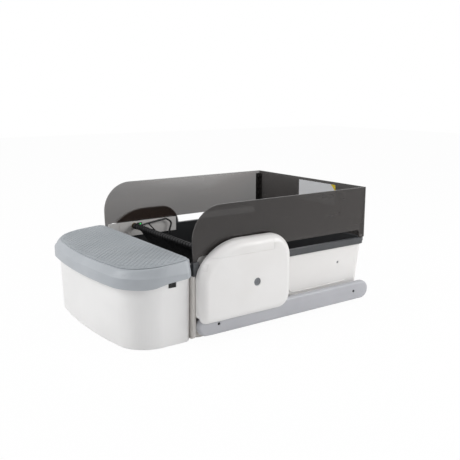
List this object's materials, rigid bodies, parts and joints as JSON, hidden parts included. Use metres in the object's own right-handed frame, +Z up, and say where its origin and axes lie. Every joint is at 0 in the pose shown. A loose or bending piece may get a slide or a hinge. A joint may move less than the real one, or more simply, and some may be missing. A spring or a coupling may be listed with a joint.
{
  "type": "smart litter box",
  "caption": "Open self-cleaning litter tray with a smoked fence, two travelling side pods that carry a rake, and a docked waste bin with a step lid.",
  "frame": {"origin": "centre of the footprint on the floor", "axes": "+Y to the rear, away from the waste bin; +Z up; +X towards the longer pod"},
  "size_m": [0.536, 0.742, 0.3175],
  "materials": {
    "base_beige": "matte",
    "white_shell": "satin",
    "grey_shell": "matte",
    "disc_steel": "satin",
    "button_white": "matte",
    "foot_rubber": "matte",
    "screw_steel": "satin",
    "black_pan": "matte",
    "dark_rim": "satin",
    "gear_plastic": "matte",
    "smoked_panel": "gloss",
    "clip_clear": "gloss",
    "frame_plastic": "matte",
    "motor_steel": "satin",
    "turned_brass": "satin",
    "board_green": "matte",
    "light_green": "gloss",
    "inlet_black": "satin",
    "rake_black": "satin",
    "comb_black": "matte"
  },
  "bodies": {
    "base": {"base_chassis": "base_beige", "rubber_feet": "foot_rubber", "front_bulkhead": "base_beige", "right_rail_skirt": "grey_shell", "left_rail_skirt": "grey_shell", "rail_screws": "screw_steel", "right_gear_rack": "gear_plastic", "left_gear_rack": "gear_plastic", "litter_tub": "white_shell", "tub_screws": "screw_steel", "litter_pan": "black_pan", "rim_frame": "dark_rim", "fence_foot_clips": "dark_rim"},
    "fence": {"right_fence_side": "smoked_panel", "left_fence_side": "smoked_panel", "fence_rear_panel": "smoked_panel", "right_corner_clip": "clip_clear", "left_corner_clip": "clip_clear"},
    "carriage": {"right_pod_shell": "white_shell", "left_pod_shell": "white_shell", "right_pod_cap": "white_shell", "left_pod_cap": "white_shell", "right_pod_disc": "disc_steel", "left_pod_disc": "disc_steel", "right_carriage_frame": "frame_plastic", "left_carriage_frame": "frame_plastic", "right_carriage_arm": "frame_plastic", "left_carriage_arm": "frame_plastic", "right_glide_shoes": "gear_plastic", "left_glide_shoes": "gear_plastic", "right_travel_motor": "motor_steel", "left_travel_motor": "motor_steel", "right_shaft_bush": "turned_brass", "left_shaft_bush": "turned_brass", "rake_motor": "motor_steel", "control_board": "board_green", "status_light": "light_green", "power_inlet": "inlet_black"},
    "right_pinion": {"right_travel_pinion": "gear_plastic"},
    "left_pinion": {"left_travel_pinion": "gear_plastic"},
    "rake_pinion": {"rake_drive_pinion": "turned_brass"},
    "button": {"clean_button": "button_white"},
    "rake": {"rake_shaft": "rake_black", "rake_gear": "gear_plastic", "rake_comb": "comb_black", "rake_tines": "comb_black", "rake_end_hoops": "rake_black"},
    "bin": {"bin_tub": "white_shell", "bin_feet": "foot_rubber", "bag_ring": "black_pan", "bin_window_inserts": "black_pan"},
    "lid": {"lid_shell": "grey_shell", "lid_step_pad": "grey_shell"}
  },
  "joints": [
    {"name": "carriage_travel", "type": "slide", "parent": "base", "child": "carriage", "axis": [0, 1, 0], "range_m": [0, 0.28]},
    {"name": "rake_swing", "type": "hinge", "parent": "carriage", "child": "rake", "pos_m": [0, -0.099, 0.189], "axis": [1, 0, 0], "range_deg": [-95, 50]},
    {"name": "rake_pinion_spin", "type": "hinge", "parent": "carriage", "child": "rake_pinion", "pos_m": [0.247, -0.07591, 0.15945], "axis": [1, 0, 0], "range_deg": [-129, 245]},
    {"name": "right_pinion_spin", "type": "hinge", "parent": "carriage", "child": "right_pinion", "pos_m": [0.2335, -0.124, 0.075], "axis": [1, 0, 0], "range_deg": [-730, 1]},
    {"name": "left_pinion_spin", "type": "hinge", "parent": "carriage", "child": "left_pinion", "pos_m": [-0.2335, -0.124, 0.075], "axis": [1, 0, 0], "range_deg": [-730, 1]},
    {"name": "clean_button_press", "type": "slide", "parent": "carriage", "child": "button", "axis": [-0.515, 0.6945, -0.5024], "range_m": [0, 0.0018], "stiffness_N_per_m": 1500},
    {"name": "fence_lift", "type": "slide", "parent": "base", "child": "fence", "axis": [0, 0, 1], "range_m": [0, 0.15]},
    {"name": "bin_dock", "type": "slide", "parent": "base", "child": "bin", "axis": [0, -1, 0], "range_m": [0, 0.15]},
    {"name": "lid_lift", "type": "slide", "parent": "bin", "child": "lid", "axis": [0, 0, 1], "range_m": [0, 0.12]}
  ],
  "couplings": [
    {"joint": "rake_pinion_spin", "follows": "rake_swing", "ratio": -2.5714},
    {"joint": "right_pinion_spin", "follows": "carriage_travel", "rad_per_m": -45.455},
    {"joint": "left_pinion_spin", "follows": "carriage_travel", "rad_per_m": -45.455}
  ]
}
